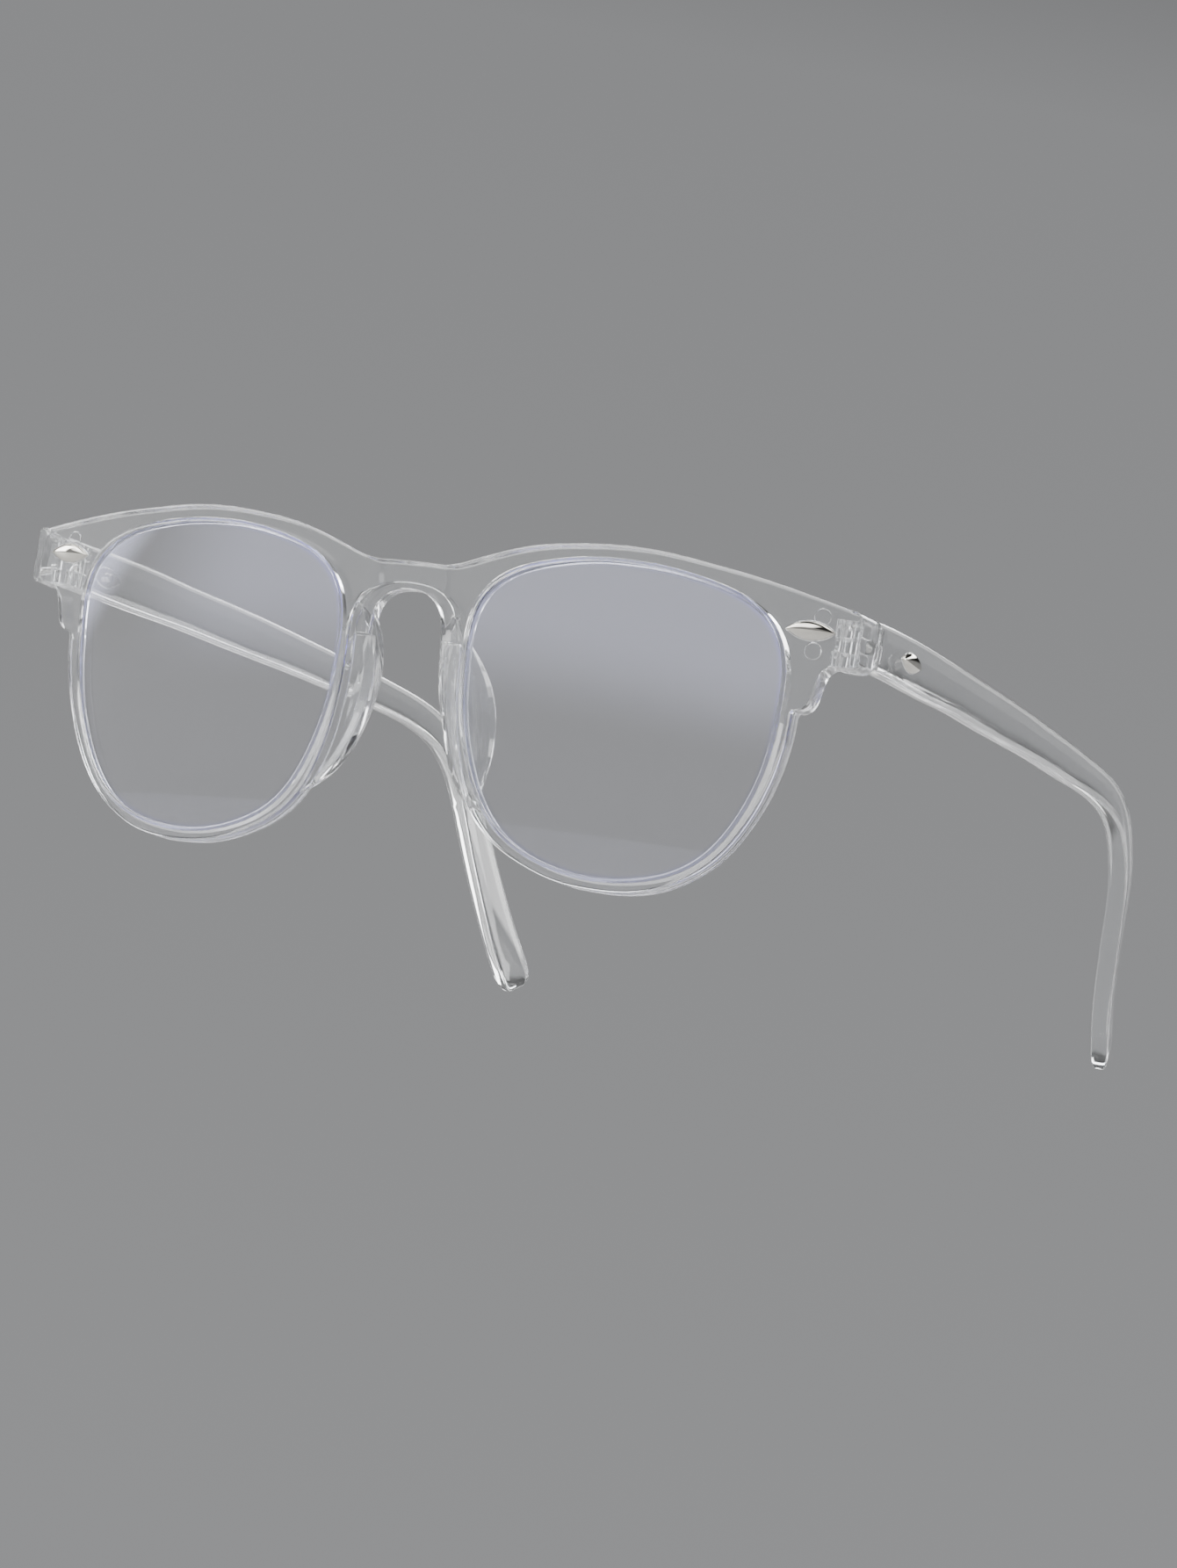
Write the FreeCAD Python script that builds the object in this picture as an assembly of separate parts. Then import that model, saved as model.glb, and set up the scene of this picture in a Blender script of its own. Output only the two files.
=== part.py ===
import FreeCAD, Part
import os
import math
from FreeCAD import Vector, Placement

# Full-rim eyeglasses: an injection-moulded front, two folding temples, lenses,
# hinge screws and decorative studs.  Millimetres.
# +Z is up, the wearer looks along -Y and +X is the wearer's left.
# Everything is modelled with Z = 0 on the lens centre line, then moved so that
# the glasses rest on Z = 0 with the origin under the middle of the bounding box.
# Only left-hand (+X) shapes are drawn; the right-hand ones are mirror images.
# "Depth" is measured backwards from the curved front surface.

LIFT = 27.47             # lens centre line above the resting plane
SHIFT_Y = -77.75         # centres the bounding box

# ---------------------------------------------------------------- front sizes
TILT = 7.9               # pantoscopic tilt, degrees: the top leans forward
WRAP_R = 268.6           # face-form radius of the front surface
RIM_T = 3.4              # depth of the front moulding
EDGE_R = 0.38            # rounding of the long front and rear edges
BUTT_Y = 13.20           # rear face of the end pieces, where the temples stop

LENS_T = 2.0
LENS_IN = 0.7            # depth of the lens front face
LENS_BITE = 0.60         # how far the lens edge sits in its groove
GROOVE_GAP = 0.05        # air round the lens edge
PAD_GAP = 0.08           # pad trimmed this far outside the lens opening

SADDLE_Z = 5             # bottom of the saddle cut, before tilting
SADDLE_H = 25

EJECTOR_MARKS = ((65.35, 16.80), (64.45, 11.70))   # X, Z on the back of the end piece
EJECTOR_R = 1.25
EJECTOR_DEEP = 0.28

# ---------------------------------------------------------------- hinge sizes
PIVOT_X = 67.50
PIVOT_Y = 15.40
EAR_TOP = (15.25, 17.35)           # bottom and top of the front's upper ear
EAR_LOW = (10.55, 12.90)
KNUCKLE_GAP = 0.05
KNUCKLE = (EAR_LOW[1] + KNUCKLE_GAP, EAR_TOP[0] - KNUCKLE_GAP)
EAR_R = 1.95                       # radius of ears and knuckle
EAR_CLEAR = 0.12                   # clearance in the temple round the ears
EAR_ROOT = 1.5                     # ear overlap with the end piece
EAR_OUT = 0.6                      # ear root beyond the axis
BLOCK_X = (66.7, 70.3)             # block that carries the ears
BLOCK_Y = 5
BLOCK_DEPTH = 0.6
RETURN_X = (69.9, 75)              # outer strip that runs back to the butt face
RETURN_Y = 2
RETURN_Z = (5, 25)

SCREW_R = 0.70                     # M1.4
HOLE_R = SCREW_R + 0.04
HEAD_R = 1.20
HEAD_H = 0.62
HEAD_GAP = 0.1                     # round the head in its counterbore
HEAD_FLOOR_GAP = 0.05
HEAD_ROUND = 0.22
SCREW_TOP = EAR_TOP[1] - 0.02
SCREW_BOTTOM = EAR_LOW[0] + 0.15
SCREW_CHAMFER = 0.2
SLOT_HALF_W = 0.16
SLOT_DEEP = 0.28
SLOT_ANGLE = 28

# --------------------------------------------------------------- temple sizes
TEMPLE_R = 0.58          # rounding along the temples
BUTT_GAP = 0.05          # between end piece and temple
WEB_IN = 0.1             # knuckle web: inward of the axis
WEB_OUT_X = 69.2
WEB_FRONT = 1.85         # forward of the axis
WEB_BACK = 2.3           # behind the axis

# ----------------------------------------------------------------- stud sizes
STUD_L = 7.6
STUD_W = 2.9
STUD_SINK = 0.25         # depth below the seat plane
STUD_TOP = 0.95          # crown above the seat plane
STUD_SIDE = 0.22         # height of the straight sides above the seat plane
STUD_BLANK_H = 3
DOME_R = 10.2            # crown curvature along the stud
BAR_R = 1.85             # crown curvature across the stud
POST_R = 0.60
POST_L = 1.7
SEAT_GAP = 0.05          # round the stud, twice this at its points
SEAT_FLOOR_GAP = 0.01
POST_GAP = 0.02
POST_END_GAP = 0.06

FRONT_STUD_X, FRONT_STUD_Z = 64.3, 14.55
TEMPLE_STUD_AT = (71.12, 26.6, 14.75)
TEMPLE_STUD_ANGLE = 3.0  # inward lean of the temple face, degrees

# ------------------------------------------------- outlines as (X, Z) points
# lens opening, anticlockwise seen from the front
OPENING = [
    (60.28, 0.93), (60.57, 5.48), (60.21, 10.17), (58.24, 14.41), (54.55, 17.37),
    (50.12, 19.01), (45.86, 19.92), (41.93, 20.49), (38.19, 20.75), (34.57, 20.79),
    (30.93, 20.65), (27.21, 20.19), (23.34, 19.39), (19.25, 18.18), (15.30, 16.08),
    (12.43, 12.70), (11.21, 8.45), (11.10, 4.13), (11.30, 0.03), (11.73, -3.95),
    (12.64, -7.86), (13.98, -11.72), (15.78, -15.55), (18.34, -19.07), (21.78, -21.82),
    (25.78, -23.73), (30.08, -24.95), (34.57, -25.48), (39.14, -25.31), (43.74, -24.47),
    (48.17, -22.75), (52.03, -19.92), (54.98, -16.19), (57.16, -12.08), (58.76, -7.84),
    (59.76, -3.49)]
# brow line, from the bridge out to the end piece
BROW = [
    (3.2, 17.55), (6.2, 17.50), (8.2, 17.85), (10.8, 18.75), (14.0, 19.90), (19.5, 21.55),
    (26.0, 22.65), (32.0, 23.20), (38.7, 23.30), (47.4, 22.45), (54.4, 21.50),
    (61.0, 20.30), (66.0, 19.25), (70.3, 18.30)]
BROW_MID = 17.55
# outer end of the front, downwards: arc, line, arc, line
SIDE = [(71.20, 17.98), (71.45, 17.20), (71.75, 11.20), (71.45, 10.30), (70.60, 10.00),
        (68.30, 9.95)]
# swept shoulder under the end piece, down to the notch
WING = [SIDE[-1], (67.20, 9.65), (66.45, 8.95), (65.95, 7.95), (65.62, 6.70),
        (65.35, 5.40), (65.00, 4.25), (64.40, 3.35), (63.55, 2.85), (62.75, 2.72)]
# outside of the rim, from the notch round the bottom and up the nose side
RIM = [
    (62.55, 2.30), (62.40, -0.70), (62.05, -3.00), (61.50, -5.60), (60.75, -8.20),
    (59.80, -10.80), (58.50, -13.60), (57.00, -16.30), (55.30, -18.80), (53.50, -20.85),
    (51.10, -22.90), (48.60, -24.55), (45.90, -25.90), (42.60, -26.90), (39.20, -27.38),
    (35.00, -27.45), (31.00, -27.15), (27.60, -26.40), (24.20, -25.20), (20.30, -23.30),
    (16.70, -20.55), (14.00, -17.00), (12.25, -13.10), (11.00, -9.00), (10.20, -5.00),
    (9.70, -1.00), (9.45, 3.00), (9.35, 6.20), (9.00, 8.70), (8.10, 11.00),
    (6.40, 12.80), (3.90, 13.95)]
ARCH_TOP = 14.35
# rear lip of the bridge arch, narrower than the front of the arch
LIP = [(6.30, 6.2), (6.05, 8.6), (5.45, 10.6), (4.20, 12.15), (2.30, 13.15)]
LIP_MID = 13.45
LIP_CORNER = (10.3, 15.6)
LIP_DEPTH = (1.1, RIM_T - 0.05)
# bridge saddle cut, (X, depth)
SADDLE = [(-7.6, -2.0), (-7.6, 0.06), (-6.0, 0.95), (6.0, 0.95), (7.6, 0.06), (7.6, -2.0)]

# ------------------------------------------------------------------- stations
# nose pad: Z, rim edge X, bulge X, rear edge X, depth of the rear edge
PAD = [
    (11.0, 8.10, 9.00, 9.30, 2.6), (9.0, 8.95, 6.00, 8.0, 5.2), (5.8, 9.35, 5.0, 9.4, 7.8),
    (2.2, 9.5, 4.95, 11.3, 9.4), (-1.6, 9.75, 5.4, 12.5, 10.0), (-5.6, 10.3, 6.4, 13.0, 9.9),
    (-9.4, 11.1, 7.7, 13.1, 9.2), (-13.0, 12.2, 9.5, 13.2, 7.6), (-16.2, 13.6, 12.1, 14.2, 5.2),
    (-19.2, 15.6, 16.4, 16.8, 2.5)]
PAD_THICKNESS = (1.0, 1.5, 1.8, 1.6, 1.25, 0.8)    # from the rim edge to the rear edge
PAD_END_DEPTH = 3.0      # a shallower section is an oval sunk in the rim
PAD_OVAL_IN = 1.35       # oval centre outward from the rim edge
PAD_OVAL_DEPTH = 1.65
PAD_OVAL_HALF = (0.55, 0.85)                       # half width in X, half depth
PAD_SIDES = 20           # sides of each polygonal section

# temple: X, Y, Z of the section's middle, height, thickness,
# downward and inward angle of the path (degrees)
TEMPLE = [
    (69.95, 13.25, 14.62, 7.20, 3.50, 0.0, 0.0),
    (69.90, 19.0, 14.72, 7.35, 3.50, 0.0, 1.0),
    (69.55, 27.0, 14.82, 7.50, 3.20, 0.0, 3.4),
    (68.55, 42.0, 14.92, 7.30, 3.00, 0.3, 3.8),
    (67.55, 57.0, 14.85, 6.90, 3.00, 0.5, 3.8),
    (66.45, 73.0, 14.70, 6.55, 3.00, 1.0, 3.8),
    (65.35, 90.0, 14.35, 5.90, 3.00, 1.6, 3.8),
    (64.20, 107.0, 13.75, 5.25, 3.00, 2.6, 4.2),
    (63.50, 117.0, 13.15, 4.95, 3.00, 6.5, 5.0),
    (62.85, 124.0, 12.00, 4.90, 3.00, 16.0, 6.5),
    (62.20, 129.6, 9.85, 4.95, 3.00, 32.0, 8.5),
    (61.55, 133.8, 6.60, 5.05, 3.00, 46.0, 11.0),
    (60.90, 137.2, 2.50, 5.20, 3.00, 54.0, 13.5),
    (59.95, 140.2, -2.60, 5.35, 3.00, 58.0, 16.5),
    (58.70, 143.3, -8.40, 5.50, 3.00, 58.5, 18.5),
    (57.35, 146.9, -14.45, 5.70, 3.00, 58.5, 20.0),
    (56.10, 151.1, -20.35, 6.10, 2.95, 57.5, 21.0),
    (55.40, 153.90, -23.65, 6.15, 2.85, 56.5, 21.0),
    (55.10, 155.05, -25.06, 5.70, 2.55, 56.5, 21.0),
    (54.92, 155.70, -25.92, 4.85, 2.10, 56.5, 21.0),
    (54.80, 156.10, -26.50, 3.20, 1.25, 56.5, 21.0)]

# ------------------------------------------------------------ general helpers
OUTLINE_Y = -30          # outlines are drawn here, ahead of the glasses,
OUTLINE_L = 90           # and extruded this far back
COS_TILT = math.cos(math.radians(TILT))
SIN_TILT = math.sin(math.radians(TILT))


def mirror(shape):
    return shape.mirror(Vector(0, 0, 0), Vector(1, 0, 0))


def both_sides(shapes):
    return shapes + [mirror(shape) for shape in shapes]


def mirror_points(points):
    return [(-x, z) for x, z in reversed(points)]


def box(x0, x1, y0, y1, z0, z1):
    return Part.makeBox(x1 - x0, y1 - y0, z1 - z0, Vector(x0, y0, z0))


def hinge_cylinder(radius, z0, z1):
    return Part.makeCylinder(radius, z1 - z0, Vector(PIVOT_X, PIVOT_Y, z0), Vector(0, 0, 1))


def on_plane(points):
    return [Vector(x, OUTLINE_Y, z) for x, z in points]


def line(*points):
    return Part.makeLine(*on_plane(points))


def arc(*points):
    return Part.Arc(*on_plane(points)).toShape()


def spline(points, closed=False):
    curve = Part.BSplineCurve()
    if closed:
        curve.interpolate(Points=on_plane(points), PeriodicFlag=True)
    else:
        curve.interpolate(Points=on_plane(points))
    return curve.toShape()


def prism(edges):
    wire = Part.Wire(Part.__sortEdges__(edges))
    return Part.Face(wire).extrude(Vector(0, OUTLINE_L, 0))


def largest_solid(shape):
    return max(shape.Solids, key=lambda solid: solid.Volume)


# ------------------------------------------------------ tilted, curved surface
def tilt(x, y, z):
    """front-plane vector -> upright vector"""
    return Vector(x, y * COS_TILT - z * SIN_TILT, y * SIN_TILT + z * COS_TILT)


def front_y(x, z):
    """upright Y of the front surface at upright (x, z)"""
    # a parabola is close enough to the arc for finding the front-plane height
    plane_z = (z - x * x / (2 * WRAP_R) * SIN_TILT) / COS_TILT
    sag = WRAP_R - math.sqrt(WRAP_R ** 2 - x * x)
    return sag * COS_TILT - plane_z * SIN_TILT


def front_point(x, z):
    return Vector(x, front_y(x, z), z)


def front_normal(x):
    """forward normal of the front surface"""
    wrap = math.asin(x / WRAP_R)
    return tilt(math.sin(wrap), -math.cos(wrap), 0)


def front_tangent(x):
    wrap = math.asin(x / WRAP_R)
    return tilt(math.cos(wrap), math.sin(wrap), 0)


def drum(depth):
    """cylinder whose front is the front surface moved back by depth"""
    return Part.makeCylinder(WRAP_R - depth, 300, tilt(0, WRAP_R, -150), tilt(0, 0, 1))


def slab(depth0, depth1):
    return drum(depth0).cut(drum(depth1))


def opening_prism(grow):
    """lens opening grown outward by a distance, extruded front to back"""
    points = []
    for i, (x, z) in enumerate(OPENING):
        x0, z0 = OPENING[i - 1]
        x1, z1 = OPENING[(i + 1) % len(OPENING)]
        dx, dz = x1 - x0, z1 - z0
        chord = math.hypot(dx, dz)
        points.append((x + grow * dz / chord, z - grow * dx / chord))
    wire = Part.Wire([spline(points, closed=True)])
    return Part.Face(wire).extrude(Vector(0, OUTLINE_L, 0))


# ---------------------------------------------------------------------- studs
def almond(half_l, half_w, floor):
    """upright prism with two arcs meeting in points at the ends of its X axis"""
    tip0, tip1 = Vector(-half_l, 0, 0), Vector(half_l, 0, 0)
    wire = Part.Wire([Part.Arc(tip0, Vector(0, half_w, 0), tip1).toShape(),
                      Part.Arc(tip1, Vector(0, -half_w, 0), tip0).toShape()])
    blank = Part.Face(wire).extrude(Vector(0, 0, STUD_BLANK_H))
    return blank.translated(Vector(0, 0, floor))


def build_stud():
    """domed stud: long axis X, outward +Z, seat plane Z = 0"""
    body = almond(STUD_L / 2, STUD_W / 2, -STUD_SINK)
    dome = Part.makeSphere(DOME_R, Vector(0, 0, STUD_TOP - DOME_R))
    bar = Part.makeCylinder(BAR_R, 20, Vector(-10, 0, STUD_TOP - BAR_R), Vector(1, 0, 0))
    corner = Vector(-10, -3, -STUD_SINK)
    above_floor = Part.makeBox(20, 6, 4, corner)
    low = Part.makeBox(20, 6, STUD_SINK + STUD_SIDE, corner)
    head = body.common(dome).common(bar.fuse(low)).common(above_floor)
    post = Part.makeCylinder(POST_R, POST_L + 0.1, Vector(0, 0, -STUD_SINK - POST_L),
                             Vector(0, 0, 1))
    return head.fuse(post).removeSplitter()


def stud_seat():
    body = almond(STUD_L / 2 + SEAT_GAP * 2, STUD_W / 2 + SEAT_GAP,
                  -STUD_SINK - SEAT_FLOOR_GAP)
    post = Part.makeCylinder(POST_R + POST_GAP, POST_L + 0.2,
                             Vector(0, 0, -STUD_SINK - POST_L - POST_END_GAP),
                             Vector(0, 0, 1))
    return body.fuse(post)


def placement_of(origin, x_dir, z_dir):
    z = Vector(z_dir).normalize()
    x = Vector(x_dir)
    x = x - z * x.dot(z)
    x.normalize()
    y = z.cross(x)
    return Placement(FreeCAD.Matrix(x.x, y.x, z.x, origin.x,
                                    x.y, y.y, z.y, origin.y,
                                    x.z, y.z, z.z, origin.z,
                                    0, 0, 0, 1))


def placed(shape, placement):
    moved = shape.copy()
    moved.Placement = placement.multiply(moved.Placement)
    return moved


FRONT_STUD = placement_of(front_point(FRONT_STUD_X, FRONT_STUD_Z),
                          front_tangent(FRONT_STUD_X), front_normal(FRONT_STUD_X))
LEAN = math.radians(TEMPLE_STUD_ANGLE)
TEMPLE_STUD = placement_of(Vector(*TEMPLE_STUD_AT),
                           Vector(-math.sin(LEAN), math.cos(LEAN), 0),
                           Vector(math.cos(LEAN), math.sin(LEAN), 0))


# --------------------------------------------------------------------- temple
def temple_section(x, y, z, height, thickness, down, inward):
    down, inward = math.radians(down), math.radians(inward)
    up = Vector(-math.sin(inward) * math.sin(down), math.cos(inward) * math.sin(down),
                math.cos(down))
    out = Vector(math.cos(inward), math.sin(inward), 0)
    r = min(TEMPLE_R, 0.20 * thickness, 0.15 * height)
    half_h, half_t = height / 2.0, thickness / 2.0
    # corners: up/down sign, out/in sign, radius along the height, along the thickness
    corners = ((-1, -1, r, r), (-1, 1, 1.5 * r, 1.35 * r), (1, 1, 1.15 * r, r), (1, -1, r, r))
    points = []
    for up_sign, out_sign, up_r, out_r in corners:
        corner = []
        for k in range(5):
            angle = math.radians(90.0 * k / 4)
            u = up_sign * (half_h - up_r + up_r * math.cos(angle))
            v = out_sign * (half_t - out_r + out_r * math.sin(angle))
            corner.append(Vector(x, y, z) + up * u + out * v)
        points += corner if up_sign * out_sign < 0 else corner[::-1]
    return Part.makePolygon(points + [points[0]])


def build_temple():
    bar = Part.makeLoft([temple_section(*station) for station in TEMPLE], True, False)
    # square front end
    bar = bar.cut(box(60, 80, 0, BUTT_Y + BUTT_GAP, 0, 30))
    z0, z1 = KNUCKLE
    knuckle = hinge_cylinder(EAR_R, z0, z1)
    web = box(PIVOT_X - WEB_IN, WEB_OUT_X, PIVOT_Y - WEB_FRONT, PIVOT_Y + WEB_BACK, z0, z1)
    temple = bar.fuse([knuckle, web]).removeSplitter()
    # room for the two ears of the front
    for low, high in ((z1, EAR_TOP[1] + EAR_CLEAR), (EAR_LOW[0] - EAR_CLEAR, z0)):
        temple = temple.cut(hinge_cylinder(EAR_R + EAR_CLEAR, low, high))
    temple = temple.cut(hinge_cylinder(HOLE_R, z0 - 1, z1 + 1))
    return temple.cut(placed(stud_seat(), TEMPLE_STUD))


# ---------------------------------------------------------------------- front
def outline_prism():
    top = spline(mirror_points(BROW) + [(0.0, BROW_MID)] + BROW)
    left = [arc(BROW[-1], SIDE[0], SIDE[1]), line(SIDE[1], SIDE[2]),
            arc(SIDE[2], SIDE[3], SIDE[4]), line(SIDE[4], SIDE[5]),
            spline(WING), line(WING[-1], RIM[0])]
    low = spline(RIM + [(0.0, ARCH_TOP)] + mirror_points(RIM))
    return prism([top] + left + [low] + [mirror(edge) for edge in left])


def arch_lip():
    inner = spline(LIP + [(0.0, LIP_MID)] + mirror_points(LIP))
    side_x, top_z = LIP_CORNER
    half = [LIP[0], (side_x, LIP[0][1]), (side_x, top_z)]
    corners = half + mirror_points(half)
    lines = [line(start, end) for start, end in zip(corners, corners[1:])]
    return prism([inner] + lines).common(slab(*LIP_DEPTH))


def pad_section(z, rim_x, bulge_x, rear_x, depth):
    """closed polygon at one height: the nose side, then the side away from the nose"""
    nose_side, far_side = [], []
    if depth < PAD_END_DEPTH:
        half_w, half_d = PAD_OVAL_HALF
        for i in range(6):
            angle = math.radians(15 + 30 * i)
            x = rim_x + PAD_OVAL_IN
            y = PAD_OVAL_DEPTH - half_d * math.cos(angle)
            nose_side.append(Vector(x - half_w * math.sin(angle), y, 0))
            far_side.append(Vector(x + half_w * math.sin(angle), y, 0))
    else:
        bulge_d = 0.46 * depth
        back_x, back_d = rear_x - bulge_x, depth - bulge_d
        nose_side = [
            Vector(rim_x + 0.40, 0.75, 0),
            Vector(0.5 * (rim_x + bulge_x) - 0.10 * (rim_x - bulge_x), 0.50 * bulge_d, 0),
            Vector(bulge_x, bulge_d, 0),
            Vector(bulge_x + 0.22 * back_x, bulge_d + 0.36 * back_d, 0),
            Vector(bulge_x + 0.60 * back_x, bulge_d + 0.72 * back_d, 0),
            Vector(rear_x, depth, 0)]
        # shallow sections are thinner
        thinning = min(1.0, 0.60 + 0.40 * (depth - 4.0) / 3.0)
        for i, point in enumerate(nose_side):
            along = (nose_side[min(5, i + 1)] - nose_side[max(0, i - 1)]).normalize()
            offset = Vector(abs(along.y), -along.x, 0) * (PAD_THICKNESS[i] * thinning)
            far_side.append(point + offset)
    surface_y = front_y(rim_x, z)
    loop = [Vector(p.x, surface_y + p.y, z) for p in nose_side + far_side[::-1]]
    curve = Part.BSplineCurve()
    curve.interpolate(Points=loop, PeriodicFlag=True)
    start, end = curve.FirstParameter, curve.LastParameter
    points = [curve.value(start + (end - start) * i / PAD_SIDES) for i in range(PAD_SIDES)]
    return Part.makePolygon(points + [points[0]])


def nose_pad():
    keep_out = opening_prism(PAD_GAP).common(slab(-5, RIM_T + 0.3))
    pad = Part.makeLoft([pad_section(*row) for row in PAD], True, False)
    return pad.cut(keep_out)


def hinge_ear(z0, z1):
    root = box(PIVOT_X - EAR_R, PIVOT_X + EAR_OUT, BUTT_Y - EAR_ROOT, PIVOT_Y, z0, z1)
    return hinge_cylinder(EAR_R, z0, z1).fuse(root)


def left_additions(outline):
    """end-piece return, hinge block, nose pad and hinge ears"""
    end_return = outline.common(box(*RETURN_X, RETURN_Y, BUTT_Y, *RETURN_Z)).common(drum(0.0))
    block = box(*BLOCK_X, BLOCK_Y, BUTT_Y, EAR_LOW[0], EAR_TOP[1]).common(drum(BLOCK_DEPTH))
    return [end_return, block, nose_pad(), hinge_ear(*EAR_TOP), hinge_ear(*EAR_LOW)]


def ejector_mark(x, z):
    normal = front_normal(x)
    base = front_point(x, z) - normal * (RIM_T - EJECTOR_DEEP)
    return Part.makeCylinder(EJECTOR_R, 2.0, base, normal * -1)


def left_cuts():
    """lens groove, screw hole and counterbore, stud seat, ejector-pin marks"""
    groove = opening_prism(LENS_BITE + GROOVE_GAP).common(
        slab(LENS_IN - GROOVE_GAP, LENS_IN + LENS_T + GROOVE_GAP))
    top = EAR_TOP[1]
    hole = hinge_cylinder(HOLE_R, EAR_LOW[0] - 1, top + 1)
    counterbore = hinge_cylinder(HEAD_R + HEAD_GAP, top - HEAD_H - HEAD_FLOOR_GAP, top + 1)
    seat = placed(stud_seat(), FRONT_STUD)
    return [groove, hole, counterbore, seat] + [ejector_mark(x, z) for x, z in EJECTOR_MARKS]


def bridge_saddle():
    """cutter that sets the front of the bridge back a little from the brow"""
    points = [tilt(x, depth, SADDLE_Z) for x, depth in SADDLE]
    face = Part.Face(Part.makePolygon(points + [points[0]]))
    return face.extrude(tilt(0, 0, SADDLE_H))


def build_front():
    outline = outline_prism()
    body = outline.common(slab(0.0, RIM_T))
    for opening in both_sides([opening_prism(0.0)]):
        body = body.cut(opening)
    # only the edges round the openings and along brow and rims are this long
    body = body.makeFillet(EDGE_R, [edge for edge in body.Edges if edge.Length > 60])
    body = body.fuse([arch_lip()] + both_sides(left_additions(outline)))
    for cutter in both_sides(left_cuts()):
        body = body.cut(cutter)
    return body.cut(bridge_saddle()).removeSplitter()


# ------------------------------------------------------------ lens and screw
def build_lens():
    return opening_prism(LENS_BITE).common(slab(LENS_IN, LENS_IN + LENS_T))


def build_screw():
    top, bottom = SCREW_TOP, SCREW_BOTTOM
    head = hinge_cylinder(HEAD_R, top - HEAD_H, top)
    rim = [e for e in head.Edges
           if abs(e.BoundBox.ZMin - top) < 1e-6 and abs(e.BoundBox.ZMax - top) < 1e-6]
    head = head.makeFillet(HEAD_ROUND, rim[:1])
    shaft = hinge_cylinder(SCREW_R, bottom, top - HEAD_H + 0.05)
    tip = [e for e in shaft.Edges if abs(e.BoundBox.ZMax - bottom) < 1e-6]
    shaft = shaft.makeChamfer(SCREW_CHAMFER, tip[:1])
    screw = head.fuse(shaft).removeSplitter()
    slot = box(PIVOT_X - 2, PIVOT_X + 2, PIVOT_Y - SLOT_HALF_W, PIVOT_Y + SLOT_HALF_W,
               top - SLOT_DEEP, top + 1)
    slot.rotate(Vector(PIVOT_X, PIVOT_Y, 0), Vector(0, 0, 1), SLOT_ANGLE)
    return screw.cut(slot)


# --------------------------------------------------------------------- export
def export(name, solid):
    moved = solid.copy()
    moved.translate(Vector(0, SHIFT_Y, LIFT))
    moved.exportStep("parts/%s.step" % name)


os.makedirs("parts", exist_ok=True)
export("frame_front", largest_solid(build_front()))
LEFT_PIECES = {
    "lens": build_lens(),
    "temple": build_temple(),
    "hinge_screw": build_screw(),
    "front_stud": placed(build_stud(), FRONT_STUD),
    "temple_stud": placed(build_stud(), TEMPLE_STUD),
}
for name, shape in LEFT_PIECES.items():
    solid = largest_solid(shape)
    export(name + "_left", solid)
    export(name + "_right", mirror(solid))
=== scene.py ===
import math
from functools import reduce

import bpy
import bmesh
import numpy as np
from mathutils import Matrix, Vector


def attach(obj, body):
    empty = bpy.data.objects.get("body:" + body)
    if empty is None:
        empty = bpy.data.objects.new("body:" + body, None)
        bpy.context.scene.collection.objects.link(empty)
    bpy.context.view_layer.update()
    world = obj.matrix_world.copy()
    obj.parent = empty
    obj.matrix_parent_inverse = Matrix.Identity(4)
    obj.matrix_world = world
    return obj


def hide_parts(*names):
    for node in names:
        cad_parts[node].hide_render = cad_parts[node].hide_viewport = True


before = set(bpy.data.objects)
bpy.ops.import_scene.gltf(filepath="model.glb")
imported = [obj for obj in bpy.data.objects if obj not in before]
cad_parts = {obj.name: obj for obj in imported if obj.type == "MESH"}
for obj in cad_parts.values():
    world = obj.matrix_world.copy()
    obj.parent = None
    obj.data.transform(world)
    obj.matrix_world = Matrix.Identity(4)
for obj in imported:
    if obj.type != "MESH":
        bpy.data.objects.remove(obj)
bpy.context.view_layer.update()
SCENE = bpy.context.scene

# ------------------------------------------------------------ driving dimensions
MM = 0.001
SHIFT_Y, LIFT = -77.75, 27.47      # from the frame's own origin to the scene's

# The front is bent round an upright cylinder, which is then leaned about X.
WRAP_RADIUS = 268.6
TILT = math.radians(7.9)
COS_TILT, SIN_TILT = math.cos(TILT), math.sin(TILT)

LENS_DEPTH = 0.7                   # lens face behind the front surface
LENS_THICKNESS = 2.0
LENS_CHAMFER = 0.14
LENS_CLEARANCE = 0.004             # gap left round the edge
LENS_STEPS = 288
OUTLINE_MIN_RADIUS = 15            # points nearer the lens centre are not edge points
SAME_TURN = 1e-4                   # edge points within this angle (radians) are averaged
# rings across a lens face, as fractions of the outline radius
FACE_RINGS = [0.0, 0.12, 0.25, 0.38, 0.5, 0.62, 0.73, 0.82, 0.89, 0.94, 0.975]

STUD_LENGTH, STUD_WIDTH = 7.6, 2.9
STUD_EDGE = 0.16                   # height of the dome along its outline
STUD_RIDGE_END = 0.26              # height the long ridge falls to towards the tips
STUD_TOP = 0.95                    # height at the middle
STUD_SINK = 0.25                   # depth of the seat wall
STUD_STEPS, STUD_HALF_STEPS = ((72, 24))
POST_RADIUS, POST_LENGTH = 0.60, 1.7
POST_BEVEL, POST_TIP_SCALE = 0.15, 0.75
POST_STEPS = 24

FRONT_STUD_X, FRONT_STUD_Z = 64.3, 14.55
ARM_STUD_X, ARM_STUD_Y, ARM_STUD_Z = 71.12, 26.6, 14.75
ARM_STUD_TURN = math.radians(3)


# ------------------------------------------------------------------ node helpers
def new_material(name):
    material = bpy.data.materials.new(name)
    material.use_nodes = True
    material.node_tree.nodes.clear()
    return material, material.node_tree


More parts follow.
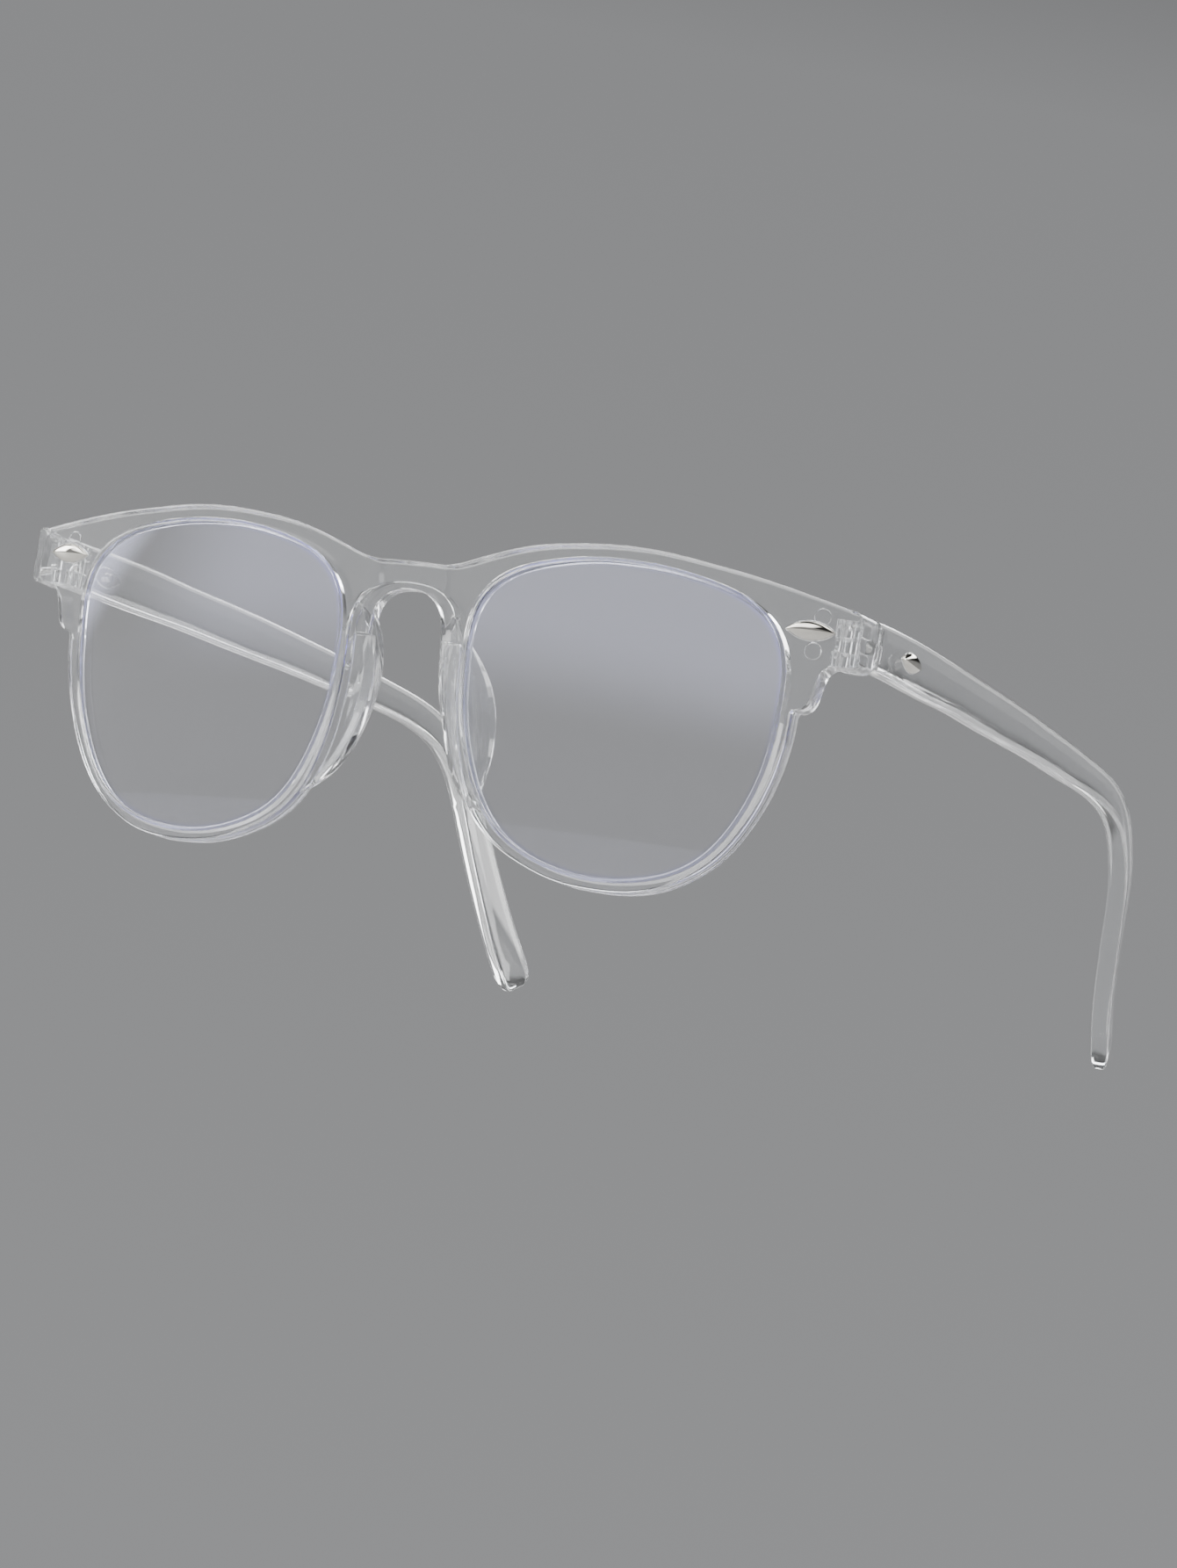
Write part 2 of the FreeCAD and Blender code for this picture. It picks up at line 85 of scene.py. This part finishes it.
def node(tree, kind, inputs=None, **settings):
    """New node; each input gets a value, or a link where a socket is given."""
    made = tree.nodes.new(kind)
    for key, value in settings.items():
        setattr(made, key, value)
    for key, value in (inputs or {}).items():
        if isinstance(value, bpy.types.NodeSocket):
            tree.links.new(value, made.inputs[key])
        else:
            made.inputs[key].default_value = value
    return made


def calc(tree, operation, *values):
    return node(tree, "ShaderNodeMath", dict(enumerate(values)), operation=operation).outputs[0]


def multiply(tree, a, b):
    return calc(tree, "MULTIPLY", a, b)


def add_up(tree, *values):
    return reduce(lambda a, b: calc(tree, "ADD", a, b), values)


def color_ramp(tree, source, stops):
    """stops: (position, rgb), in rising order"""
    ramp = node(tree, "ShaderNodeValToRGB", {0: source})
    elements = ramp.color_ramp.elements
    for element, (position, color) in zip(elements, (stops[0], stops[-1])):
        element.position = position
        element.color = (*color, 1)
    for position, color in stops[1:-1]:
        elements.new(position).color = (*color, 1)
    return ramp.outputs[0]


def mask(tree, source, black, white):
    """0 up to `black`, rising to 1 at `white`"""
    return color_ramp(tree, source, [(black, (0, 0, 0)), (white, (1, 1, 1))])


def remap(tree, source, old, new, interpolation="LINEAR"):
    inputs = {"From Min": old[0], "From Max": old[1], "To Min": new[0], "To Max": new[1],
              "Value": source}
    made = node(tree, "ShaderNodeMapRange", inputs, interpolation_type=interpolation)
    return made.outputs["Result"]


def noise(tree, scale, detail, roughness=0.5, stretch=(1, 1, 1), distortion=0.0):
    place = node(tree, "ShaderNodeTexCoord").outputs["Object"]
    mapping = node(tree, "ShaderNodeMapping", {"Vector": place, "Scale": stretch})
    inputs = {"Vector": mapping.outputs[0], "Scale": scale, "Detail": detail,
              "Roughness": roughness, "Distortion": distortion}
    return node(tree, "ShaderNodeTexNoise", inputs).outputs["Fac"]


def soft_edges(tree, radius, samples):
    return node(tree, "ShaderNodeBevel", {"Radius": radius}, samples=samples).outputs[0]


def bump(tree, height, normal, strength, distance):
    inputs = {"Strength": strength, "Distance": distance, "Height": height, "Normal": normal}
    return node(tree, "ShaderNodeBump", inputs).outputs[0]


def grey(tree, value):
    channels = dict.fromkeys(("Red", "Green", "Blue"), value)
    return node(tree, "ShaderNodeCombineColor", channels).outputs[0]


def mix_shaders(tree, factor, first, second):
    return node(tree, "ShaderNodeMixShader", {0: factor, 1: first, 2: second}).outputs[0]


def surface(tree, shader):
    node(tree, "ShaderNodeOutputMaterial", {"Surface": shader})


def surface_with_clear_shadow(tree, shader, tint, amount):
    """Clear things let most of the light through instead of casting a black shadow."""
    clear = node(tree, "ShaderNodeBsdfTransparent", {0: (*tint, 1)}).outputs[0]
    shadow_ray = node(tree, "ShaderNodeLightPath").outputs["Is Shadow Ray"]
    surface(tree, mix_shaders(tree, multiply(tree, shadow_ray, amount), shader, clear))


# --------------------------------------------------------------------- materials
def frame_plastic():
    """Polished clear plastic: soft arrises, flow waviness, wiping marks, dust and haze."""
    material, tree = new_material("clear_frame_plastic")
    milkiness = 0.035              # share of the plastic that does not transmit
    base_roughness = 0.008
    haze = mask(tree, noise(tree, scale=90, detail=4, roughness=0.55), black=0.50, white=0.78)
    hairlines = mask(tree, noise(tree, scale=650, detail=2, stretch=(1.0, 0.10, 0.9)),
                     black=0.62, white=0.72)
    dust = mask(tree, noise(tree, scale=2400, detail=1, roughness=0.4), black=0.80, white=0.83)
    # the factors are the roughness each mark adds
    roughness = add_up(tree, multiply(tree, haze, 0.03), multiply(tree, hairlines, 0.025),
                       multiply(tree, dust, 0.12), base_roughness)
    waves = bump(tree, noise(tree, scale=120, detail=1.5, roughness=0.4, distortion=0.3),
                 soft_edges(tree, radius=0.00022, samples=5), strength=0.6, distance=0.00002)
    grain = bump(tree, noise(tree, scale=1800, detail=3, roughness=0.6), waves,
                 strength=0.2, distance=0.000003)
    plastic = node(tree, "ShaderNodeBsdfPrincipled", {
        "Base Color": (0.955, 0.965, 0.975, 1),
        "Transmission Weight": 1.0 - milkiness,
        "IOR": 1.58,
        "Roughness": roughness,
        "Normal": grain,
    })
    surface_with_clear_shadow(tree, plastic.outputs[0], tint=(0.88, 0.89, 0.90), amount=0.62)
    return material


def lens_resin(tree, rim):
    """Clear body, tinted at the ground edge and marked by wiping."""
    tint = node(tree, "ShaderNodeMix", {
        "A": (0.965, 0.967, 0.980, 1),
        "B": (0.76, 0.78, 0.98, 1),
        "Factor": rim,
    }, data_type="RGBA")
    hairlines = mask(tree, noise(tree, scale=520, detail=2, stretch=(0.12, 1.0, 0.7)),
                     black=0.66, white=0.74)
    smears = mask(tree, noise(tree, scale=60, detail=3, distortion=1.0), black=0.55, white=0.85)
    mark_roughness = 0.012
    roughness = add_up(tree, multiply(tree, hairlines, mark_roughness),
                       multiply(tree, smears, mark_roughness))
    return node(tree, "ShaderNodeBsdfPrincipled", {
        "Base Color": tint.outputs["Result"],
        "Transmission Weight": 1.0,
        "IOR": 1.50,
        "Roughness": roughness,
    }).outputs[0]


def bowed_normal(tree, true_normal):
    """Turns the normal upwards with height, as on a lens with a steeper base curve."""
    turn_per_metre = 7.5
    level_z = -29.0                # frame height at which the normal is not turned
    place = node(tree, "ShaderNodeTexCoord").outputs["Object"]
    height = node(tree, "ShaderNodeSeparateXYZ", {0: place}).outputs["Z"]
    height = calc(tree, "SUBTRACT", height, (LIFT + level_z) * MM)
    upward = node(tree, "ShaderNodeCombineXYZ", {"Z": multiply(tree, height, turn_per_metre)})
    turned = node(tree, "ShaderNodeVectorMath", {0: true_normal, 1: upward.outputs[0]},
                  operation="ADD")
    return node(tree, "ShaderNodeVectorMath", {0: turned.outputs[0]},
                operation="NORMALIZE").outputs[0]


def lens_coated():
    """Lens resin under a blue-violet anti-reflection coating."""
    material, tree = new_material("lens_coated")
    # the mesh attribute runs from 0 at the lens centre to 1 at its outline
    radial = node(tree, "ShaderNodeAttribute", attribute_name="rim").outputs["Fac"]
    rim = mask(tree, radial, black=0.945, white=0.995)
    resin = lens_resin(tree, rim)
    geometry = node(tree, "ShaderNodeNewGeometry").outputs
    coating = node(tree, "ShaderNodeBsdfGlossy", {
        "Roughness": 0.03,
        "Normal": bowed_normal(tree, geometry["Normal"]),
        "Color": color_ramp(tree, rim, [(0.0, (0.72, 0.74, 1.0)), (1.0, (0.30, 0.28, 1.0))]),
    })
    # share of the coating: face on, more at a glancing angle, more at the rim
    face_on, glancing, at_rim = 0.06, 0.30, 0.10
    fresnel = node(tree, "ShaderNodeLayerWeight", {"Blend": 0.30}).outputs["Fresnel"]
    cover = add_up(tree, face_on, multiply(tree, fresnel, glancing), multiply(tree, rim, at_rim))
    outside = calc(tree, "SUBTRACT", 1.0, geometry["Backfacing"])
    cover = multiply(tree, cover, outside)
    coated = mix_shaders(tree, cover, resin, coating.outputs[0])
    surface_with_clear_shadow(tree, coated, tint=(0.93, 0.93, 0.97), amount=0.92)
    return material


def metal(name, color, roughness, scratch_roughness, grain_height, edge_radius):
    """Metal with tone drift, fine directional scratches and a softened arris."""
    material, tree = new_material(name)
    tone = remap(tree, noise(tree, scale=900, detail=3, roughness=0.6),
                 old=(0.3, 0.7), new=(0.94, 1.03))
    toned = node(tree, "ShaderNodeVectorMath", {0: color, "Scale": tone}, operation="SCALE")
    scratches = mask(tree, noise(tree, scale=2600, detail=2, stretch=(0.15, 1.0, 1.0)),
                     black=0.5, white=0.75)
    grain = bump(tree, noise(tree, scale=3000, detail=2, stretch=(0.12, 1.0, 1.0)),
                 soft_edges(tree, edge_radius, samples=4), strength=0.15, distance=grain_height)
    shader = node(tree, "ShaderNodeBsdfPrincipled", {
        "Metallic": 1.0,
        "Base Color": toned.outputs[0],
        "Roughness": add_up(tree, roughness, multiply(tree, scratches, scratch_roughness)),
        "Normal": grain,
    })
    surface(tree, shader.outputs[0])
    return material


def floor_pale():
    """Matt grey seen from above, see-through from below."""
    material, tree = new_material("floor_pale")
    tone = remap(tree, noise(tree, scale=6, detail=3), old=(0.3, 0.7), new=(0.40, 0.42))
    matt = node(tree, "ShaderNodeBsdfPrincipled",
                {"Base Color": grey(tree, tone), "Roughness": 0.55}).outputs[0]
    clear = node(tree, "ShaderNodeBsdfTransparent").outputs[0]
    underside = node(tree, "ShaderNodeNewGeometry").outputs["Backfacing"]
    surface(tree, mix_shaders(tree, underside, matt, clear))
    return material


# ------------------------------------------------------------------ mesh helpers
def add_object(name, data):
    added = bpy.data.objects.new(name, data)
    SCENE.collection.objects.link(added)
    return added


def set_material(mesh, material):
    mesh.materials.clear()
    mesh.materials.append(material)
    for polygon in mesh.polygons:
        polygon.material_index = 0


def add_piece(name, mesh, body, material, replaced, sharp_angle):
    """Adds a smooth piece that moves with `body` and replaces a CAD node."""
    piece = add_object(name, mesh)
    set_material(mesh, material)
    for polygon in mesh.polygons:
        polygon.use_smooth = True
    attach(piece, body)
    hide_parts(replaced)
    mesh.set_sharp_from_angle(angle=math.radians(sharp_angle))


def band(row_a, row_b, closed=True):
    """Faces between two equal rows; a corner shared by a whole row gives triangles."""
    count = len(row_a)
    faces = []
    for k in range(count if closed else count - 1):
        after = (k + 1) % count
        corners = dict.fromkeys((row_a[k], row_b[k], row_b[after], row_a[after]))
        if len(corners) > 2:
            faces.append(list(corners))
    return faces


def front_y(x, z, depth):
    """Y of the bent surface lying `depth` behind the front surface, at (x, z)"""
    y_untilted = WRAP_RADIUS - math.sqrt((WRAP_RADIUS - depth) ** 2 - x * x)
    z_untilted = (z - y_untilted * SIN_TILT) / COS_TILT
    return y_untilted * COS_TILT - z_untilted * SIN_TILT


# ------------------------------------------------------------------------ pieces
def temple_piece(side, material):
    """CAD temple with its strips joined and its soft corners shaded as one surface"""
    node_name, name = "temple_" + side, "temple_moulding_" + side
    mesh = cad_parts[node_name].data.copy()
    mesh.name = name
    bm = bmesh.new()
    bm.from_mesh(mesh)
    bmesh.ops.remove_doubles(bm, verts=bm.verts, dist=2e-6)
    bmesh.ops.dissolve_degenerate(bm, dist=1e-6, edges=bm.edges)
    bm.to_mesh(mesh)
    bm.free()
    if "custom_normal" in mesh.attributes:
        mesh.attributes.remove(mesh.attributes["custom_normal"])
    add_piece(name, mesh, node_name, material, node_name, sharp_angle=35)


def lens_outline(node_name):
    """Centre, angles and radii of the CAD lens edge, in equal turns"""
    points = np.array([v.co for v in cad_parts[node_name].data.vertices])
    x, z = points[:, 0] / MM, points[:, 2] / MM - LIFT
    center_x, center_z = (x.min() + x.max()) / 2, (z.min() + z.max()) / 2
    angles = np.arctan2(z - center_z, x - center_x)
    radii = np.hypot(x - center_x, z - center_z)
    at_edge = radii > OUTLINE_MIN_RADIUS
    angles, radii = angles[at_edge], radii[at_edge]
    order = np.argsort(angles)
    angles, radii = angles[order], radii[order]

    # average the points that share a direction
    mean_angles, mean_radii = [], []
    start = 0
    while start < len(angles):
        end = start
        while end < len(angles) and angles[end] - angles[start] < SAME_TURN:
            end += 1
        mean_angles.append(angles[start:end].mean())
        mean_radii.append(radii[start:end].mean())
        start = end

    # repeat a turn on both sides, so that the curve closes
    known = np.array(mean_angles)
    known = np.concatenate([known - 2 * np.pi, known, known + 2 * np.pi])
    turns = np.linspace(-np.pi, np.pi, LENS_STEPS, endpoint=False)
    outline = np.interp(turns, known, np.tile(mean_radii, 3))
    # light smoothing, so that the ground edge reads as one curve
    for _ in range(3):
        outline = 0.25 * np.roll(outline, 1) + 0.5 * outline + 0.25 * np.roll(outline, -1)
    return center_x, center_z, turns, outline


def lens_piece(side, material):
    node_name, name = "lens_" + side, "lens_resin_" + side
    center_x, center_z, turns, outline = lens_outline(node_name)
    outline = outline - LENS_CLEARANCE

    # rings of (radii, depth into the lens): front face, edge, back face
    corner = LENS_CHAMFER * 0.3    # middle point of the chamfer, pushed outwards
    edge = [                       # (inset from the outline, depth into the lens)
        (LENS_CHAMFER, 0.0),
        (corner, corner),
        (0.0, LENS_CHAMFER),
        (0.0, LENS_THICKNESS * 0.5),
        (0.0, LENS_THICKNESS - LENS_CHAMFER),
        (corner, LENS_THICKNESS - corner),
        (LENS_CHAMFER, LENS_THICKNESS),
    ]
    rings = [(outline * share, 0.0) for share in FACE_RINGS]
    rings += [(outline - inset, depth) for inset, depth in edge]
    rings += [(outline * share, LENS_THICKNESS) for share in reversed(FACE_RINGS)]

    verts, rim, rows = [], [], []

    def put(x, z, depth, share):
        y = front_y(x, z, LENS_DEPTH + depth)
        verts.append((x * MM, (y + SHIFT_Y) * MM, (z + LIFT) * MM))
        rim.append(share)
        return len(verts) - 1

    for radii, depth in rings:
        if not radii.any():        # the centre is a single vertex
            rows.append([put(center_x, center_z, depth, 0.0)] * LENS_STEPS)
            continue
        rows.append([put(center_x + radius * math.cos(turn), center_z + radius * math.sin(turn),
                         depth, radius / full)
                     for radius, turn, full in zip(radii, turns, outline)])
    faces = [face for a, b in zip(rows, rows[1:]) for face in band(a, b)]

    mesh = bpy.data.meshes.new(name)
    mesh.from_pydata(verts, [], faces)
    mesh.attributes.new("rim", "FLOAT", "POINT").data.foreach_set("value", rim)
    bm = bmesh.new()
    bm.from_mesh(mesh)
    bmesh.ops.recalc_face_normals(bm, faces=bm.faces)
    bm.to_mesh(mesh)
    bm.free()
    add_piece(name, mesh, "front", material, node_name, sharp_angle=32)


def dome_height(u, across):
    """Dome height at `u` along the stud and `across` (-1 to 1) its width"""
    fullness = 0.62                # power of both profiles: lower is fuller
    along = max(0.0, 1 - (u / (STUD_LENGTH / 2)) ** 2)
    ridge = STUD_RIDGE_END + (STUD_TOP - STUD_RIDGE_END) * along ** fullness
    return STUD_EDGE + (ridge - STUD_EDGE) * max(0.0, 1 - abs(across) ** 2.1) ** fullness


def stud_piece(node_name, name, body, material, origin, along, outward):
    """Polished almond stud: smooth dome, thin seat wall and a hidden post"""
    z_axis = Vector(outward).normalized()
    x_axis = Vector(along)
    x_axis = (x_axis - z_axis * x_axis.dot(z_axis)).normalized()
    y_axis = z_axis.cross(x_axis)
    origin, shift = Vector(origin), Vector((0, SHIFT_Y, LIFT))
    half_length, half_width = STUD_LENGTH / 2, STUD_WIDTH / 2
    arc_radius = (half_length * half_length + half_width * half_width) / (2 * half_width)

    bm = bmesh.new()

    def put(u, v, height):
        return bm.verts.new((origin + x_axis * u + y_axis * v + z_axis * height + shift) * MM)

    def add_faces(faces):
        for face in faces:
            bm.faces.new(face)

    rows = []
    for i in range(STUD_STEPS + 1):
        u = half_length * -math.cos(math.pi * i / STUD_STEPS)
        if i in (0, STUD_STEPS):   # each tip is a single vertex
            rows.append([put(u, 0, STUD_EDGE)] * (2 * STUD_HALF_STEPS + 1))
            continue
        reach = math.sqrt(max(0.0, arc_radius * arc_radius - u * u)) - (arc_radius - half_width)
        row = []
        for j in range(-STUD_HALF_STEPS, STUD_HALF_STEPS + 1):
            across = math.sin(math.pi / 2 * j / STUD_HALF_STEPS)
            row.append(put(u, reach * across, dome_height(u, across)))
        rows.append(row)
    for row_a, row_b in zip(rows, rows[1:]):
        add_faces(band(row_a, row_b, closed=False))

    # seat wall and underside
    upper = [row[0] for row in rows] + [row[-1] for row in rows[-2:0:-1]]
    lower = []
    for vert in upper:
        height = (vert.co - (origin + shift) * MM).dot(z_axis)
        lower.append(bm.verts.new(vert.co - z_axis * (height + STUD_SINK * MM)))
    add_faces(band(upper, lower))
    bm.faces.new(lower[::-1])

    # post with a bevelled tip
    tip = -STUD_SINK - POST_LENGTH
    rings = []
    for radius, height in ((POST_RADIUS, -STUD_SINK), (POST_RADIUS, tip + POST_BEVEL),
                           (POST_TIP_SCALE * POST_RADIUS, tip)):
        turns = [2 * math.pi * k / POST_STEPS for k in range(POST_STEPS)]
        rings.append([put(radius * math.cos(a), radius * math.sin(a), height) for a in turns])
    for ring_a, ring_b in zip(rings, rings[1:]):
        add_faces(band(ring_a, ring_b))
    bm.faces.new(rings[-1][::-1])
    bm.faces.new(rings[0])

    bmesh.ops.recalc_face_normals(bm, faces=bm.faces)
    mesh = bpy.data.meshes.new(name)
    bm.to_mesh(mesh)
    bm.free()
    add_piece(name, mesh, body, material, node_name, sharp_angle=40)


def front_stud(side, sign, material):
    """Stud lying on the bent and leaned front surface"""
    wrap = math.asin(FRONT_STUD_X / WRAP_RADIUS)
    sin_wrap, cos_wrap = math.sin(wrap), math.cos(wrap)
    stud_piece("front_stud_" + side, "end_stud_" + side, "front", material,
               origin=(sign * FRONT_STUD_X, front_y(FRONT_STUD_X, FRONT_STUD_Z, 0.0),
                       FRONT_STUD_Z),
               along=(sign * cos_wrap, sin_wrap * COS_TILT, sin_wrap * SIN_TILT),
               outward=(sign * sin_wrap, -cos_wrap * COS_TILT, -cos_wrap * SIN_TILT))


def arm_stud(side, sign, material):
    """Stud on the outer side of the temple"""
    sin_turn, cos_turn = math.sin(ARM_STUD_TURN), math.cos(ARM_STUD_TURN)
    stud_piece("temple_stud_" + side, "arm_stud_" + side, "temple_" + side, material,
               origin=(sign * ARM_STUD_X, ARM_STUD_Y, ARM_STUD_Z),
               along=(-sign * sin_turn, cos_turn, 0),
               outward=(sign * cos_turn, sin_turn, 0))


def build_spectacles():
    plastic = frame_plastic()
    lens = lens_coated()
    stud = metal("stud_polished", color=(0.80, 0.775, 0.71), roughness=0.04,
                 scratch_roughness=0.05, grain_height=0.000004, edge_radius=0.00006)
    screw = metal("screw_steel", color=(0.55, 0.54, 0.52), roughness=0.20,
                  scratch_roughness=0.15, grain_height=0.000008, edge_radius=0.00004)
    # the front and the screws are shown as they are in the CAD, with their exact normals
    set_material(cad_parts["frame_front"].data, plastic)
    for side, sign in (("left", 1), ("right", -1)):
        temple_piece(side, plastic)
        lens_piece(side, lens)
        set_material(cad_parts["hinge_screw_" + side].data, screw)
        front_stud(side, sign, stud)
        arm_stud(side, sign, stud)


# ------------------------------------------------------- stage, in metres from here
def add_floor():
    half, z = 3.0, -0.0002
    mesh = bpy.data.meshes.new("floor")
    corners = [(-half, -half, z), (half, -half, z), (half, half, z), (-half, half, z)]
    mesh.from_pydata(corners, [], [(0, 1, 2, 3)])
    floor = add_object("floor", mesh)
    mesh.materials.append(floor_pale())


# Glows in the surroundings; sizes and softness are tangents of the angle off the direction.
SOFTBOXES = (
    # overhead
    dict(direction=(0.05, 0.10, 1.0), half_width=0.42, half_height=0.24, softness=0.10,
         strength=4.4),
    # -X side
    dict(direction=(-0.95, -0.30, 0.42), half_width=0.18, half_height=0.30, softness=0.06,
         strength=9.0),
    # +X side
    dict(direction=(0.95, 0.45, 0.40), half_width=0.12, half_height=0.28, softness=0.05,
         strength=9.0),
    # in front, towards -X
    dict(direction=(-0.40, -0.86, 0.70), half_width=0.36, half_height=0.18, softness=0.26,
         strength=3.8),
    # low strip behind
    dict(direction=(0.30, 0.90, 0.55), half_width=0.45, half_height=0.07, softness=0.04,
         strength=7.0),
)
# (Z of the view direction, brightness) of the surroundings; all but the two ends are tinted
SKY = [(-1.0, 0.05), (-0.25, 0.06), (-0.10, 0.26), (0.02, 0.31),
       (0.22, 0.27), (0.30, 0.02), (0.60, 0.02), (1.0, 0.05)]
SKY_TINT = (0.985, 0.995, 1.02)


def softbox(tree, direction, half_width, half_height, softness, strength):
    """Rectangular glow seen in the given direction"""
    forward = Vector(direction).normalized()
    right = forward.cross(Vector((0, 0, 1))).normalized()
    up = right.cross(forward).normalized()
    view = node(tree, "ShaderNodeTexCoord").outputs["Generated"]

    def along(axis):
        return node(tree, "ShaderNodeVectorMath", {0: view, 1: axis},
                    operation="DOT_PRODUCT").outputs["Value"]

    ahead = along(forward)
    divisor = calc(tree, "MAXIMUM", ahead, 0.02)   # kept clear of zero

    def window(axis, half_size):
        offset = calc(tree, "ABSOLUTE", calc(tree, "DIVIDE", along(axis), divisor))
        return remap(tree, offset, old=(half_size, half_size + softness), new=(1, 0),
                     interpolation="SMOOTHSTEP")

    glow = multiply(tree, window(right, half_width), window(up, half_height))
    # no second glow in the opposite direction
    facing = remap(tree, ahead, old=(0.05, 0.15), new=(0, 1), interpolation="SMOOTHSTEP")
    return multiply(tree, multiply(tree, glow, facing), strength)


def add_world():
    world = bpy.data.worlds.new("studio")
    SCENE.world = world
    world.use_nodes = True
    tree = world.node_tree
    tree.nodes.clear()
    view = node(tree, "ShaderNodeTexCoord").outputs["Generated"]
    height = node(tree, "ShaderNodeSeparateXYZ", {0: view}).outputs["Z"]
    stops = [((z + 1) / 2, [level * tint for tint in SKY_TINT]) for z, level in SKY]
    for end in (0, -1):
        stops[end] = (stops[end][0], [SKY[end][1]] * 3)
    sky = color_ramp(tree, remap(tree, height, old=(-1, 1), new=(0, 1)), stops)
    glow = add_up(tree, *[softbox(tree, **box) for box in SOFTBOXES])
    both = node(tree, "ShaderNodeMix", {"Factor": 1.0, "A": sky, "B": grey(tree, glow)},
                data_type="RGBA", blend_type="ADD")
    background = node(tree, "ShaderNodeBackground", {0: both.outputs["Result"], 1: 1.0})
    node(tree, "ShaderNodeOutputWorld", {0: background.outputs[0]})


def area_light(name, location, target, size, power, color):
    light = bpy.data.lights.new(name, "AREA")
    light.shape = "RECTANGLE"
    light.size, light.size_y = size
    light.energy = power
    light.color = color
    light.spread = math.pi
    lamp = add_object(name, light)
    lamp.location = location
    aim = Vector(target) - Vector(location)
    lamp.rotation_euler = aim.to_track_quat("-Z", "Y").to_euler()


def add_camera():
    """Long lens in front, on the +X side, looking slightly up through the floor"""
    right = (0.8771308, 0.4446984, 0.1813419)
    up = (-0.1026213, -0.1953243, 0.9753550)
    backward = (0.4691593, -0.8741234, -0.1256895)
    location = Vector((577.4539, -1009.5250 + SHIFT_Y, -157.8557 + LIFT)) * MM
    data = bpy.data.cameras.new("cam")
    camera = add_object("cam", data)
    pose = Matrix((right, up, backward)).transposed().to_4x4()
    pose.translation = location
    camera.matrix_world = pose
    data.sensor_width = 36.0
    data.sensor_fit = "AUTO"
    data.lens = 179.693183
    data.clip_start = 0.01
    data.clip_end = 50
    SCENE.camera = camera


def set_light_bounces():
    """Enough bounces for light to pass through the layers of clear plastic"""
    SCENE.cycles.max_bounces = 24
    SCENE.cycles.transmission_bounces = 20
    SCENE.cycles.transparent_max_bounces = 24
    SCENE.cycles.glossy_bounces = 8


build_spectacles()
add_floor()
add_world()
area_light("key", location=(-0.55, -0.35, 0.75), target=(0, -0.02, 0.03), size=(0.5, 0.3),
           power=2.0, color=(1.0, 0.99, 0.97))
area_light("back_rim", location=(-0.25, 0.75, 0.55), target=(0, 0, 0.03), size=(0.7, 0.12),
           power=2.0, color=(0.97, 0.98, 1.0))
add_camera()
set_light_bounces()
